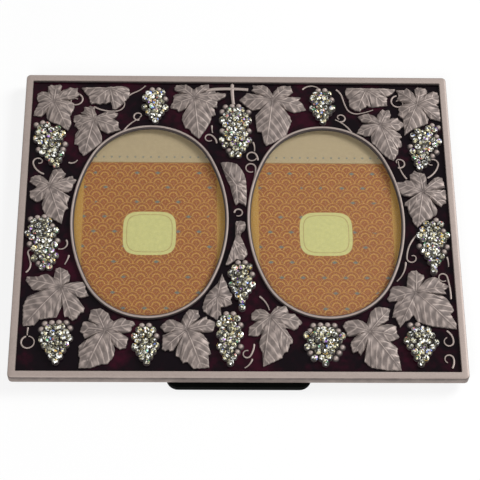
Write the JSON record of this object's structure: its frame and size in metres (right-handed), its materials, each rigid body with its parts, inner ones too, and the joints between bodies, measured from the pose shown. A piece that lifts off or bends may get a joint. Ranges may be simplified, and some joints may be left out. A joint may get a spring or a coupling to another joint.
{
  "type": "double photo frame",
  "caption": "Cast metal double photo frame with oval windows, vine leaves and stone-set grape bunches on dark enamel, and a folding easel leg.",
  "frame": {"origin": "under the middle of the outline, on the face that the part lies on", "axes": "+X to the frame's right as seen from its front, +Y to its top, +Z out of its front; it lies on its back with the leg folded"},
  "size_m": [0.175, 0.1396, 0.0086],
  "materials": {
    "antique_pewter": "antiqued satin pewter, darker in the recesses",
    "plum_enamel": "glossy dark plum enamel",
    "crystal": "faceted foiled stones",
    "window_glass": "clear",
    "photo_card": "printed card",
    "black_flock": "black flocked board",
    "nickel_steel": "nickel plated",
    "brass": "lacquered brass"
  },
  "bodies": {
    "frame": {"frame_casting": "antique_pewter", "enamel_field": "plum_enamel", "crystals_1": "crystal", "crystals_2": "crystal", "crystals_3": "crystal", "crystals_4": "crystal", "crystals_5": "crystal", "crystals_6": "crystal", "crystals_7": "crystal", "crystals_8": "crystal", "crystals_9": "crystal", "crystals_10": "crystal", "crystals_11": "crystal", "crystals_12": "crystal", "crystals_13": "crystal", "left_glass": "window_glass", "right_glass": "window_glass", "left_photo_card": "photo_card", "right_photo_card": "photo_card", "back_board": "black_flock", "button_rivets": "brass", "board_hinge_leaf": "nickel_steel", "board_leaf_rivets": "nickel_steel", "hinge_pin": "nickel_steel"},
    "leg": {"leg_hinge_leaf": "nickel_steel", "leg_leaf_rivets": "nickel_steel", "easel_leg": "black_flock"},
    "turn_button_top_left": {"turn_button_top_left": "brass"},
    "turn_button_top_right": {"turn_button_top_right": "brass"},
    "turn_button_low_left": {"turn_button_low_left": "brass"},
    "turn_button_low_right": {"turn_button_low_right": "brass"}
  },
  "joints": [
    {"name": "leg_fold", "type": "hinge", "parent": "frame", "child": "leg", "pos_m": [0, 0.0168, 0.00155], "axis": [1, 0, 0], "range_deg": [0, 35]},
    {"name": "button_top_left_turn", "type": "hinge", "parent": "frame", "child": "turn_button_top_left", "pos_m": [-0.052, 0.0643, 0.0024], "axis": [0, 0, 1], "continuous": true},
    {"name": "button_top_right_turn", "type": "hinge", "parent": "frame", "child": "turn_button_top_right", "pos_m": [0.052, 0.0643, 0.0024], "axis": [0, 0, 1], "continuous": true},
    {"name": "button_low_left_turn", "type": "hinge", "parent": "frame", "child": "turn_button_low_left", "pos_m": [-0.06, -0.0627, 0.0024], "axis": [0, 0, 1], "continuous": true},
    {"name": "button_low_right_turn", "type": "hinge", "parent": "frame", "child": "turn_button_low_right", "pos_m": [0.06, -0.0627, 0.0024], "axis": [0, 0, 1], "continuous": true}
  ]
}
